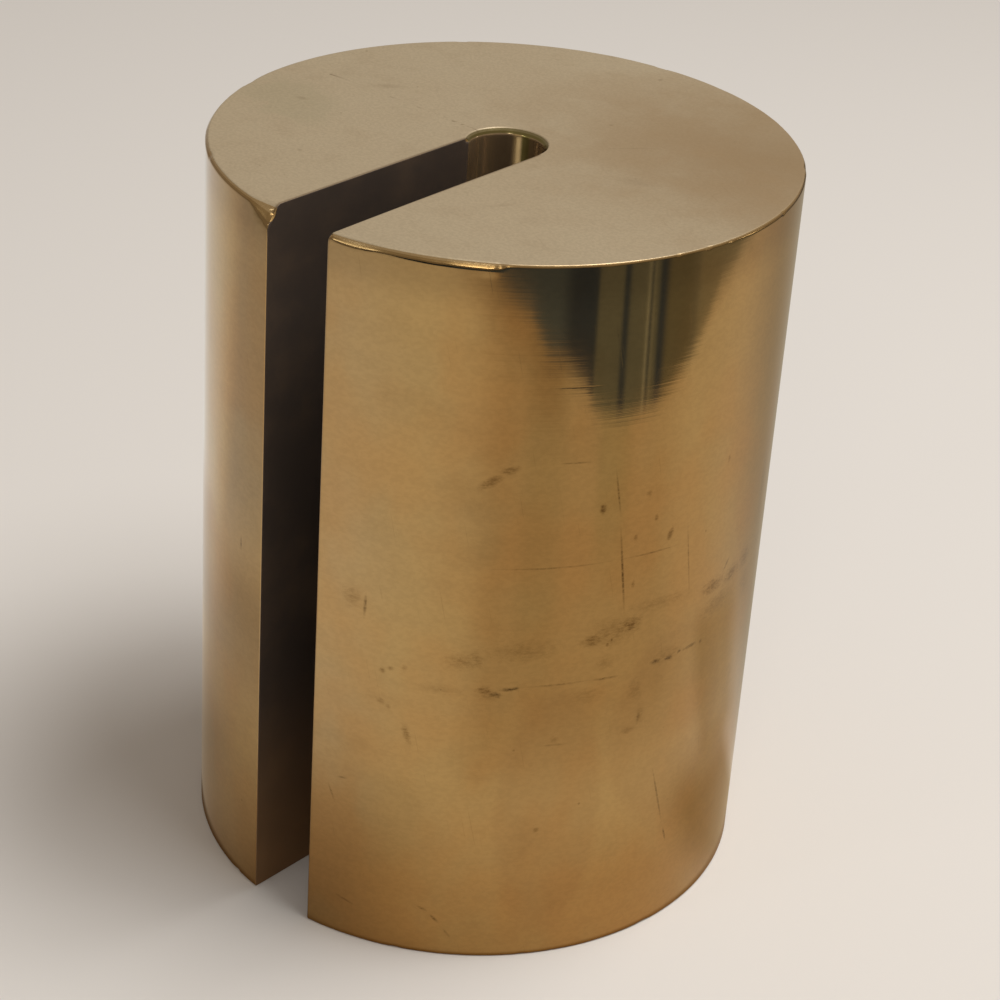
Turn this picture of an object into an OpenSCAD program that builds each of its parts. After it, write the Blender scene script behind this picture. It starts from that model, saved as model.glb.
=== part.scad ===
// Slotted weight: one solid brass cylinder, turned all over, with a radial
// slot that ends in a drilled seat on the axis. The weight slides sideways
// onto a hanger's stem, so that its load hangs in line with the stem.
// Millimetres, +Z up, the origin on the cylinder's axis at its base. The
// slot opens towards -Y. At the sizes given here it holds 2 kg of brass.

/* [Body] */
// Diameter of the turned cylinder
body_d = 63; // [40:0.5:90]
// Height from the base to the top face
body_h = 83; // [30:0.5:140]
// Width of the broken edge round the top rim
top_break = 0.3; // [0.1:0.1:1.5]
// Width of the broken edge round the bottom rim
base_break = 0.3; // [0.1:0.1:1.5]

/* [Slot] */
// Width of the radial slot, which lets the hanger's stem in
slot_w = 8; // [5:0.1:14]
// How far the slot's centre plane lies from the axis, towards +X, so that
// the wall at -X meets the seat in a step
slot_shift = 0.5; // [0:0.1:0.9]
// Width of the broken edges along the slot, at both faces and at its mouth
slot_break = 0.2; // [0.1:0.05:0.5]

/* [Seat] */
// Diameter of the drilled seat that ends the slot
seat_d = 8; // [5:0.1:14]
// Width of the countersink round the seat at both faces
seat_break = 0.6; // [0.2:0.1:1.2]

/* [Hidden] */
$fn = 96;
brass = [0.78, 0.62, 0.36];
body_r = body_d / 2;
seat_r = seat_d / 2;
half_slot = slot_w / 2;
// How far a cutter runs past the face that it opens
past = 2;
// How far from the axis the slot's walls come out through the cylinder
mouth_near = sqrt(pow(body_r, 2) - pow(slot_shift + half_slot, 2));
mouth_far = sqrt(pow(body_r, 2) - pow(slot_shift - half_slot, 2));

// The turned blank: a cylinder with both rims broken
module turned_blank() {
    rotate_extrude()
        polygon([
            [0, 0],
            [body_r - base_break, 0],
            [body_r, base_break],
            [body_r, body_h - top_break],
            [body_r - top_break, body_h],
            [0, body_h]
        ]);
}

// The slot's cutter: its section runs from the axis out past the cylinder,
// and widens at both faces to break the long edges
module slot_cutter() {
    wide = half_slot + slot_break;
    translate([slot_shift, 0, 0])
        rotate([90, 0, 0])
            linear_extrude(height = body_r + past)
                polygon([
                    [-wide, -past],
                    [wide, -past],
                    [wide, 0],
                    [half_slot, slot_break],
                    [half_slot, body_h - slot_break],
                    [wide, body_h],
                    [wide, body_h + past],
                    [-wide, body_h + past],
                    [-wide, body_h],
                    [-half_slot, body_h - slot_break],
                    [-half_slot, slot_break],
                    [-wide, 0]
                ]);
}

// The mouth's cutter: a wedge that breaks the two upright edges, where the
// slot's walls come out through the cylinder
module mouth_cutter() {
    reach = slot_break + past;
    translate([0, 0, -past])
        linear_extrude(height = body_h + 2 * past)
            polygon([
                [slot_shift + half_slot, slot_break - mouth_near],
                [slot_shift + half_slot + reach, -past - mouth_near],
                [slot_shift - half_slot - reach, -past - mouth_far],
                [slot_shift - half_slot, slot_break - mouth_far]
            ]);
}

// The seat's cutter: a drilled hole with a countersink at each face
module seat_cutter() {
    translate([0, 0, -past])
        cylinder(r = seat_r, h = body_h + 2 * past);
    for (side = [0, 1])
        translate([0, 0, side * body_h])
            mirror([0, 0, side])
                translate([0, 0, -seat_break])
                    cylinder(r1 = seat_r + 2 * seat_break, r2 = seat_r, h = 2 * seat_break);
}

// The whole weight, one piece of metal
module weight_body() {
    color(brass)
        difference() {
            turned_blank();
            slot_cutter();
            mouth_cutter();
            seat_cutter();
        }
}

weight_body();
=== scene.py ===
"""Looks of the slotted weight: its turned and worn brass, and the plain stage that it stands on.

Lengths are written in millimetres and angles in degrees, and they become metres and radians where a mesh, a lamp
or a node is made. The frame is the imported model's: the origin on the weight's axis at its base, +Z up, and the
slot's mouth towards -Y.
"""

import logging
import math
from dataclasses import dataclass
from enum import Enum
from functools import cached_property
from typing import Iterable, Iterator, Union

import bpy
import numpy as np
from mathutils import Matrix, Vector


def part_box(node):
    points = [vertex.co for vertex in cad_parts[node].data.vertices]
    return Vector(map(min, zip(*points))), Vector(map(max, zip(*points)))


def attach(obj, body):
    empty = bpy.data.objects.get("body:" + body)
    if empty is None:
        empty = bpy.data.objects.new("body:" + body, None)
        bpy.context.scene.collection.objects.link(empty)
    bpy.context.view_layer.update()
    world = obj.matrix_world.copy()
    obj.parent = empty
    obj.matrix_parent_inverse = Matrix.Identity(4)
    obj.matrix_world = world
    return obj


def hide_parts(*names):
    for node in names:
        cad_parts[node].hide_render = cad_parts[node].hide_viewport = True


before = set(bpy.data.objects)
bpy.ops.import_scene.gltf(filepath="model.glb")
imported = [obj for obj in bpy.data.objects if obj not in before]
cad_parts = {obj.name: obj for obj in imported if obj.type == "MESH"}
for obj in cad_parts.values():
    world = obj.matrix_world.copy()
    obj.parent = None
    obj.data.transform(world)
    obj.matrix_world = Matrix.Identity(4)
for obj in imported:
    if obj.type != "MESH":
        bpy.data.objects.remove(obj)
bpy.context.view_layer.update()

MM = 0.001
LOG = logging.getLogger("slotted_weight")

Socket = bpy.types.NodeSocket
Sockets = bpy.types.bpy_prop_collection
Value = Union[float, tuple, Socket]
Feeds = dict[Union[str, int], Value]
Paint = tuple[Socket, Socket, Socket]
Colour = tuple[float, float, float]
Some = Union[float, np.ndarray]

TINY = 1e-6
ORIGIN = (0.0, 0.0, 0.0)


def tone(red: int, green: int, blue: int) -> Colour:
    """Turns a display colour into the linear one that a node takes.

    Args:
        red: The red share, from 0 to 255.
        green: The green share, from 0 to 255.
        blue: The blue share, from 0 to 255.

    Returns:
        The three linear shares, from 0 to 1.
    """
    shares = np.array([red, green, blue]) / 255
    linear = np.where(shares <= 0.04045, shares / 12.92, ((shares + 0.055) / 1.055) ** 2.4)
    return tuple(float(v) for v in linear)


def window(place: np.ndarray, centre: float, half: float) -> np.ndarray:
    """Gives a smooth hump: 1 at its centre, 0 beyond its half width, and the squared cosine between."""
    share = np.clip(np.abs(place - centre) / half, 0, 1)
    return np.cos(share * np.pi / 2) ** 2


def rise(place: np.ndarray, start: float, stop: float) -> np.ndarray:
    """Gives a smooth step: 0 before start, 1 past stop, and 3s^2 - 2s^3 at the share s of the way between."""
    share = np.clip((place - start) / (stop - start), 0, 1)
    return share * share * (3 - 2 * share)


# Shader nodes


class Desk:
    """A node tree on which nodes are laid and linked, so that a finish reads as a list of steps."""

    def __init__(self, tree: bpy.types.NodeTree) -> None:
        """Takes the tree that the nodes go into."""
        self.tree = tree

    @classmethod
    def cleared(cls, owner: Union[bpy.types.Material, bpy.types.World]) -> "Desk":
        """Gives the emptied node tree of a new material or world.

        Args:
            owner: The material or the world.

        Returns:
            The desk for its nodes.
        """
        owner.use_nodes = True
        owner.node_tree.nodes.clear()
        return cls(owner.node_tree)

    def lay(self, kind: str, feeds: Feeds, **settings: object) -> bpy.types.Node:
        """Adds one node.

        Args:
            kind: The node's type, without the words ShaderNode.
            feeds: For each input, by name or number, a value or the socket that feeds it.
            settings: The node's own settings.

        Returns:
            The new node.
        """
        node = self.tree.nodes.new("ShaderNode" + kind)
        for name, value in settings.items():
            setattr(node, name, value)
        for key, value in feeds.items():
            if isinstance(value, Socket):
                self.tree.links.new(value, node.inputs[key])
            else:
                node.inputs[key].default_value = value
        return node

    def use(self, group: bpy.types.NodeTree, place: Socket, **feeds: Value) -> Sockets:
        """Places a shared effect at a place, with its own values, and gives its outputs."""
        return self.lay("Group", {"Place": place, **feeds}, node_tree=group).outputs

    def mask(self, group: bpy.types.NodeTree, place: Socket, **feeds: Value) -> Socket:
        """Places a shared effect as use does, and gives its mask."""
        return self.use(group, place, **feeds)["Mask"]

    def sum(self, operation: str, *terms: Value, clamp: bool = False) -> Socket:
        """Does one step of arithmetic on numbers, and keeps the result between 0 and 1 where clamp says so."""
        return self.lay("Math", dict(enumerate(terms)), operation=operation, use_clamp=clamp).outputs[0]

    def times(self, first: Value, *others: Value) -> Value:
        """Multiplies numbers.

        Args:
            first: The first number.
            others: The numbers that multiply it.

        Returns:
            The product.
        """
        for other in others:
            first = self.sum("MULTIPLY", first, other)
        return first

    def stack(self, base: Value, *terms: tuple[Value, Value]) -> Value:
        """Adds values to a base.

        Args:
            base: Where the sum starts.
            terms: Each value, with the number that multiplies it.

        Returns:
            The sum.
        """
        for value, amount in terms:
            base = self.sum("MULTIPLY_ADD", value, amount, base)
        return base

    def vector(self, operation: str, *terms: Value) -> Socket:
        """Does one step of arithmetic on vectors. A length or a dot product gives a number."""
        node = self.lay("VectorMath", dict(enumerate(terms)), operation=operation)
        return node.outputs["Value" if operation in ("LENGTH", "DOT_PRODUCT") else "Vector"]

    def scale(self, vector: Socket, factor: Value) -> Socket:
        """Multiplies a vector or a colour by one number."""
        return self.lay("VectorMath", {0: vector, "Scale": factor}, operation="SCALE").outputs[0]

    def turned(self, place: Socket, angle: Value) -> Socket:
        """Turns a place about the Z axis, by an angle in radians."""
        return self.lay("VectorRotate", {"Vector": place, "Angle": angle}, rotation_type="Z_AXIS").outputs[0]

    def split(self, place: Socket) -> Sockets:
        """Gives a place's X, Y and Z."""
        return self.lay("SeparateXYZ", {0: place}).outputs

    def join(self, x: Value, y: Value, z: Value) -> Socket:
        """Makes a vector of its X, Y and Z."""
        return self.lay("CombineXYZ", {0: x, 1: y, 2: z}).outputs[0]

    def place(self) -> Socket:
        """Reads the piece's own coordinates, in metres."""
        return self.lay("TexCoord", {}).outputs["Object"]

    def attribute(self, name: str) -> Socket:
        """Reads one of the mesh's own attributes."""
        return self.lay("Attribute", {}, attribute_name=name).outputs["Fac"]

    def degrees(self, place: Socket) -> Socket:
        """Gives a place's angle round the Z axis, from -180 to 180 degrees."""
        x, y, _ = self.split(place)
        return self.times(self.sum("ARCTAN2", y, x), 180 / math.pi)

    def noise(self, place: Socket, detail: Value = 2.0, roughness: float = 0.5) -> Socket:
        """Reads soft noise, from 0 to 1, whose grain is one unit of the place that feeds it."""
        feeds = {"Vector": place, "Scale": 1.0, "Detail": detail, "Roughness": roughness}
        return self.lay("TexNoise", feeds).outputs[0]

    def step(self, value: Value, low: Value, high: Value, bottom: Value = 0.0, top: Value = 1.0) -> Socket:
        """Maps a value smoothly from between low and high to between bottom and top."""
        feeds = {0: value, 1: low, 2: high, 3: bottom, 4: top}
        return self.lay("MapRange", feeds, interpolation_type="SMOOTHSTEP").outputs[0]

    def band(self, value: Value, start: float, full: float, last: float, stop: float) -> Socket:
        """Reads 1 between full and last, and falls smoothly to 0 by start and by stop."""
        return self.times(self.step(value, start, full), self.step(value, stop, last))

    def blend(self, share: Value, first: Value, second: Value) -> Socket:
        """Mixes two numbers, by the second one's share."""
        return self.lay("Mix", {0: share, 2: first, 3: second}, data_type="FLOAT").outputs[0]

    def mix(self, share: Value, first: Value, second: Value) -> Socket:
        """Mixes two colours, by the second one's share."""
        full = [v if isinstance(v, Socket) else (*v, 1.0) for v in (first, second)]
        return self.lay("Mix", {0: share, 6: full[0], 7: full[1]}, data_type="RGBA").outputs[2]

    def coat(self, colour: Value, *coats: tuple[Value, float, Value]) -> Value:
        """Lays coats over a colour, one after another.

        Args:
            colour: The colour below them.
            coats: Each coat's mask, the number that multiplies it, and its colour.

        Returns:
            The colour that shows.
        """
        for mask, share, shade in coats:
            colour = self.mix(mask if share == 1 else self.times(mask, share), colour, shade)
        return colour


class Effect(Desk):
    """A shared effect: a node group with named inputs and outputs, built once. Its first input is the place."""

    def __init__(self, name: str, **usual: Value) -> None:
        """Makes the group and its inputs.

        Args:
            name: The group's name.
            usual: The name and usual value of each input after the place, a tuple where it takes a vector.
        """
        super().__init__(bpy.data.node_groups.new(name, "ShaderNodeTree"))
        for label, value in {"Place": ORIGIN, **usual}.items():
            kind = "NodeSocketVector" if isinstance(value, tuple) else "NodeSocketFloat"
            self.tree.interface.new_socket(name=label, in_out="INPUT", socket_type=kind).default_value = value
        self.given = self.tree.nodes.new("NodeGroupInput").outputs

    def give(self, **results: Socket) -> bpy.types.NodeTree:
        """Puts numbers out.

        Args:
            results: Each output's name and value.

        Returns:
            The finished group.
        """
        for label in results:
            self.tree.interface.new_socket(name=label, in_out="OUTPUT", socket_type="NodeSocketFloat")
        outputs = self.tree.nodes.new("NodeGroupOutput").inputs
        for label, value in results.items():
            self.tree.links.new(value, outputs[label])
        return self.tree


class Effects:
    """The effects that more than one finish uses. Each is built once, and all but the first put out a mask."""

    @cached_property
    def lines(self) -> bpy.types.NodeTree:
        """The fine marks of a cutting tool, as height and tone: noise that is long in X and Y and short in Z.

        Returns:
            The node group.
        """
        d = Effect("tool marks", Pitch=0.4, Length=40.0)
        across, along = (d.sum("DIVIDE", 1 / MM, d.given[label]) for label in ("Length", "Pitch"))
        place = d.vector("MULTIPLY", d.given["Place"], d.join(across, across, along))
        coarse = d.vector("MULTIPLY", place, (1.7, 1.7, 0.31))
        return d.give(Height=d.noise(place, 3.0, 0.6), Tone=d.noise(coarse))

    @cached_property
    def cloud(self) -> bpy.types.NodeTree:
        """Soft clouds of tarnish: noise of a size and stretch, cut between two levels.

        Returns:
            The node group.
        """
        d = Effect("tarnish cloud", Size=10.0, Flatness=1.0, Low=0.4, High=0.7, Detail=4.0)
        across = d.sum("DIVIDE", 1 / MM, d.given["Size"])
        scale = d.join(across, across, d.times(across, d.given["Flatness"]))
        cloud = d.noise(d.vector("MULTIPLY", d.given["Place"], scale), d.given["Detail"], 0.6)
        return d.give(Mask=d.step(cloud, d.given["Low"], d.given["High"]))

    @cached_property
    def wear(self) -> bpy.types.NodeTree:
        """The bright band along a broken edge: full at the edge, ragged where it ends.

        Returns:
            The node group.
        """
        d = Effect("edge wear", Distance=1.0, Width=0.4, Ragged=0.5)
        place = d.scale(d.given["Place"], 1 / (1.2 * MM))
        ragged = d.times(d.sum("SUBTRACT", d.noise(place, 3.0), 0.5), d.given["Ragged"])
        share = d.sum("ADD", d.sum("DIVIDE", d.given["Distance"], d.given["Width"]), ragged)
        return d.give(Mask=d.step(share, 1.0, 0.0))

    @cached_property
    def blot(self) -> bpy.types.NodeTree:
        """One mark, a scratch or a stain: an ellipse whose edge is pushed in and out by noise.

        Returns:
            The node group.
        """
        d = Effect("mark", Noise=0.5, Patches=1.0, Centre=ORIGIN, Turn=0.0, Reach=(1.0, 1.0, 1.0), Ragged=0.5,
                   Soft=0.5, Strength=1.0)
        turned = d.turned(d.vector("SUBTRACT", d.given["Place"], d.given["Centre"]), d.given["Turn"])
        far = d.vector("LENGTH", d.vector("DIVIDE", turned, d.given["Reach"]))
        push = d.times(d.sum("SUBTRACT", d.given["Noise"], 0.5), d.given["Ragged"])
        mask = d.step(d.sum("ADD", far, push), 1.0, d.sum("SUBTRACT", 1.0, d.given["Soft"]))
        return d.give(Mask=d.times(mask, d.given["Patches"], d.given["Strength"]))

    @cached_property
    def specks(self) -> bpy.types.NodeTree:
        """Scattered specks: the middles of cells, in a share of the cells.

        Returns:
            The node group.
        """
        d = Effect("specks", Spacing=3.0, Size=0.1, Share=0.3)
        place = d.scale(d.given["Place"], d.sum("DIVIDE", 1 / MM, d.given["Spacing"]))
        cells = d.lay("TexVoronoi", {"Vector": place, "Scale": 1.0}).outputs
        chosen = d.lay("SeparateColor", {0: cells["Color"]}).outputs
        size = d.times(d.sum("DIVIDE", d.given["Size"], d.given["Spacing"]), d.sum("ADD", chosen[1], 0.4))
        near = d.step(d.sum("DIVIDE", cells["Distance"], size), 1.0, 0.4)
        return d.give(Mask=d.times(near, d.sum("LESS_THAN", chosen[0], d.given["Share"])))

    @cached_property
    def hairs(self) -> bpy.types.NodeTree:
        """Fine straight hairline scratches: noise drawn out along one direction of a flat place.

        Returns:
            The node group.
        """
        d = Effect("hairline scratches", Turn=0.0, Length=12.0, Width=0.25, Level=0.62)
        along, across = (d.sum("DIVIDE", 1.0, d.given[label]) for label in ("Length", "Width"))
        turned = d.turned(d.given["Place"], d.given["Turn"])
        grain = d.noise(d.vector("MULTIPLY", turned, d.join(along, across, 1.0)), 1.0)
        return d.give(Mask=d.step(grain, d.given["Level"], d.sum("ADD", d.given["Level"], 0.07)))


# Marks that use has left


class MarkKind(Enum):
    """What a mark on the side is. Its value is how gradual such a mark's edge is, where the mark doesn't say."""

    STAIN = 1.0
    SCRATCH = 0.9
    # A painted reflection of shade on the floor, as a broad faint tone
    TINT = 0.2


@dataclass(frozen=True)
class Mark:
    """One mark, an ellipse placed by its two coordinates on a flat or unrolled surface, in millimetres."""

    across: float
    up: float
    half_length: float
    half_width: float
    turn: float = 0.0
    strength: float = 0.5
    ragged: float = 0.9
    soft: float = 0.85


TOP_SPOTS = (
    Mark(-1.5, 27.8, 0.35, 0.5, 0, 0.6), Mark(-22.9, -7.6, 1.1, 0.5, 20, 0.45),
    Mark(3.9, 12.5, 0.4, 0.3, 0, 0.55), Mark(-13.2, 23.6, 0.5, 0.3, 30, 0.35),
    Mark(-12.3, -18.3, 0.45, 0.4, 0, 0.4), Mark(9.6, 8.8, 4.1, 0.12, 50, 0.4),
    Mark(-19.4, 2.5, 2.6, 0.9, 42, 0.3), Mark(11, -13, 2.4, 0.5, 64, 0.25),
    Mark(16, 2, 3.2, 1.2, 20, 0.2),
)

# The side's marks: each one's angle round the axis and height above the base, then what Mark takes
SIDE_MARKS: dict[MarkKind, tuple[tuple[float, ...], ...]] = {
    MarkKind.TINT: (
        # Painted reflections of the floor's shade: broad faint differences of tone low on the side
        (-33, 19, 6.6, 17.5, 0, 0.8, 0.3, 0.22), (-6, 27, 9.4, 14, 0, 0.75, 0.25, 0.2),
        (-52, 58, 4.5, 9, 0, 0.35, 0.6, 0.8),
    ),
    MarkKind.STAIN: (
        # The belt of dark stains half way up
        (-51.5, 38.3, 2.8, 1, 6, 0.5, 2), (-49.2, 38.6, 1, 1.1, 20, 0.55, 1.8),
        (-40.5, 39.7, 4.8, 1.3, 3, 0.4, 1.8), (-27, 40.3, 1.7, 0.8, 4, 0.85, 2),
        (-24.3, 40.6, 1.6, 0.5, 6, 0.6, 1.6), (-19.3, 41.3, 2.2, 1, 16, 0.9, 2),
        (-22.5, 41, 4.2, 1.7, 8, 0.45, 1.8), (-23.8, 39.5, 0.3, 0.26, 0, 1, 0.6, 0.8),
        (-22.9, 40, 0.22, 0.22, 0, 0.9, 0.6, 0.8), (-12, 43.1, 6.5, 0.8, -2, 0.35, 2),
        (2.4, 42, 2.6, 0.9, 2, 0.75, 2.2), (9.5, 41.9, 2.4, 1, 10, 0.7, 2.2),
        (15.4, 42.4, 2, 1.5, 25, 0.6, 2), (5, 39.4, 4.2, 1.2, 6, 0.45, 2),
        (17, 38.9, 2, 2, 30, 0.4, 1.6), (22.4, 49, 1.3, 5, 0, 0.4, 0.8),
        (-73.8, 43.7, 1.6, 1.3, 0, 0.45, 1.6),
        # Stains on and beside the dark line below it
        (-47.2, 34.9, 1.2, 0.5, 0, 0.95, 2.2), (-46.4, 34.3, 1.6, 0.8, 0, 0.4, 1.8),
        (0.4, 35.6, 0.35, 0.28, 0, 0.8, 1, 0.9), (-9, 36, 2.8, 1, 0, 0.4, 2),
        (-67, 35.7, 0.55, 0.4, 20, 0.7, 1.8), (-65.4, 36.2, 0.5, 0.3, 0, 0.6, 1.8),
        (-67.1, 31.9, 0.7, 0.35, -20, 0.6, 1.8), (-65.4, 31.4, 0.4, 0.28, 0, 0.45, 1.4),
        (-62.7, 36.6, 0.5, 0.3, 0, 0.4, 1.2, 0.8), (-61.6, 28.4, 1.9, 0.42, 107, 0.7, 1.5),
        (-55.5, 34.6, 2.8, 0.7, 0, 0.3, 2),
        # Fainter smudges below that line
        (-24, 37.2, 1.8, 0.8, 0, 0.35, 2), (-16.5, 32.8, 1.3, 1.4, 0, 0.4, 2),
        (-14.7, 29.7, 0.8, 1.4, 0, 0.4, 2), (-17.2, 27.9, 1.6, 0.5, 0, 0.4, 2),
        (-33.2, 28.5, 0.9, 0.35, 0, 0.4, 2), (-27, 33.6, 2.6, 0.9, 0, 0.3, 2),
        # A curved smear and small spots
        (-48.6, 59.5, 1.9, 0.5, 34, 0.75, 0.9, 0.8), (-45.2, 60.9, 1.4, 0.42, 20, 0.7, 0.9, 0.8),
        (-27.2, 56, 0.5, 0.6, 0, 0.9, 0.7, 0.7), (-15.5, 53.7, 0.35, 0.4, 0, 0.7, 0.8, 0.8),
        (-11.8, 51.2, 1.1, 0.35, 70, 0.75, 1, 0.8), (-19.8, 51.9, 0.35, 0.35, 0, 0.6, 0.8, 0.8),
        (-17.7, 56.8, 0.5, 0.35, 40, 0.5, 0.8, 0.8), (-19.4, 46.3, 0.3, 0.4, 0, 0.6, 0.8, 0.8),
        (3.2, 57.3, 0.3, 0.5, 0, 0.6, 0.8, 0.8), (-35.2, 16.9, 0.45, 0.3, 20, 0.55, 0.8, 0.8),
    ),
    MarkKind.SCRATCH: (
        # A short one beside the belt
        (-71, 42.9, 1.9, 0.2, 88, 0.8, 0.5),
        # The dark line below the belt
        (-45.2, 34.4, 1, 0.3, -6, 0.95, 1.8), (-42.4, 35.1, 1.4, 0.24, 8, 1, 1.6),
        (-33, 35.4, 4.8, 0.13, 0.6, 0.5, 0.8), (-23.6, 35.3, 2, 0.15, -2, 0.75, 1.2),
        (-12.2, 35.7, 0.9, 0.3, 0, 1, 1.8), (-8.8, 35.5, 0.9, 0.26, -5, 0.95, 1.6),
        (-6, 35.75, 0.5, 0.22, 24, 0.9, 1), (-2.8, 35.75, 1.5, 0.2, 3, 0.95, 1.4),
        # Long scratches that run down the side
        (-24.4, 57.6, 3.4, 0.13, 100, 0.75, 0.3), (-22, 48.2, 6.5, 0.15, 97.5, 0.95, 0.3),
        (-7.8, 17.5, 5.2, 0.14, 106, 0.75, 0.3), (-4.4, 11.4, 1.4, 0.16, 108, 0.85, 0.3),
        (-6.2, 47.3, 6.2, 0.12, 99, 0.5, 0.3), (6.8, 43.7, 1.2, 0.16, 52, 0.7, 0.3),
        (-103.4, 43.2, 1.1, 0.15, 91, 0.8, 0.3), (-76.7, 18.4, 1.5, 0.14, 112, 0.5, 0.4),
        (-15.1, 29.2, 1.1, 0.2, 84, 0.55, 0.6),
        # Long thin lines round the side
        (-36, 49.6, 8, 0.11, 0.6, 0.5, 0.3), (-16, 49.6, 4.4, 0.11, -1, 0.6, 0.3),
        (-33.8, 70, 3.4, 0.1, -0.4, 0.6, 0.3), (-33.2, 61.6, 2.2, 0.1, -1, 0.6, 0.3),
        (-32.8, 27.8, 1.6, 0.16, -1, 0.4, 0.8), (-74.4, 20.8, 0.8, 0.14, 8, 0.5, 0.6),
        # Nicks by the base
        (-56.7, 6, 0.8, 0.16, -25, 0.8, 0.6), (-54.1, 4.8, 0.9, 0.2, -46, 0.9, 0.6),
        (-51.5, 3, 0.9, 0.14, -52, 0.6, 0.6), (-73, 4.8, 1.5, 0.16, -16, 0.6, 0.4),
    ),
}


# Finishes


@dataclass(frozen=True)
class BrassFinish:
    """What every surface of the weight shares: its metal, the bright metal of its worn edges, and its grime.

    The surface is as metallic as shine says, and more so at its worn edges, by the share bare of what is left.
    """

    name: str
    colour: Colour
    edge_colour: Colour = tone(206, 170, 112)
    ring_colour: Colour = tone(146, 133, 82)
    grime_colour: Colour = tone(92, 66, 34)
    roughness: float = 0.2
    edge_width: float = 0.06
    ragged: float = 0.9
    shine: float = 1.0
    bare: float = 1.0

    def build(self, effects: Effects) -> bpy.types.Material:
        """Builds the material.

        Args:
            effects: The shared effects.

        Returns:
            The material.
        """
        material = bpy.data.materials.new(self.name)
        material.diffuse_color = (*self.colour, 1.0)
        d = Desk.cleared(material)
        place = d.place()
        past = d.attribute(EDGE_NAME)
        edge = d.mask(effects.wear, place, Distance=past, Width=self.edge_width, Ragged=self.ragged)
        colour, rough, high = self.paint(d, effects, place, edge)
        metal = 1.0 if self.shine == 1 else d.stack(self.shine, (edge, self.bare * (1 - self.shine)))
        normal = d.lay("Bump", {"Height": high, "Strength": 1.0, "Distance": MM}).outputs[0]
        feeds = {"Base Color": colour, "Metallic": metal, "Roughness": rough, "Normal": normal}
        d.lay("OutputMaterial", {0: d.lay("BsdfPrincipled", feeds).outputs[0]})
        return material

    def paint(self, d: Desk, effects: Effects, place: Socket, edge: Socket) -> Paint:
        """Works out how the surface looks from point to point. Each finish has its own way.

        Args:
            d: Where the nodes go.
            effects: The shared effects.
            place: The piece's own coordinates, in metres.
            edge: The mask of its worn edges.

        Returns:
            The colour, the roughness, and the height of its relief in millimetres.
        """
        raise NotImplementedError

    @staticmethod
    def blots(d: Desk, effects: Effects, flat: Socket, push: Socket, marks: Iterable[Mark],
              patches: Value = 1.0) -> Value:
        """Lays marks on a surface.

        Args:
            d: Where the nodes go.
            effects: The shared effects.
            flat: The place on the flat or unrolled surface, in millimetres.
            push: The noise that pushes the marks' edges in and out.
            marks: The marks.
            patches: What fades them in places.

        Returns:
            The strongest mark's mask at each point.
        """
        total: Value = 0.0
        for mark in marks:
            blot = d.mask(effects.blot, flat, Noise=push, Patches=patches, Centre=(mark.across, mark.up, 0.0),
                          Turn=-math.radians(mark.turn), Reach=(mark.half_length, mark.half_width, 1.0),
                          Ragged=mark.ragged, Soft=mark.soft, Strength=mark.strength)
            total = d.sum("MAXIMUM", total, blot)
        return total


EDGE_NAME = "past_edge"
SLOT_NAME = "beside_slot"


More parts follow.
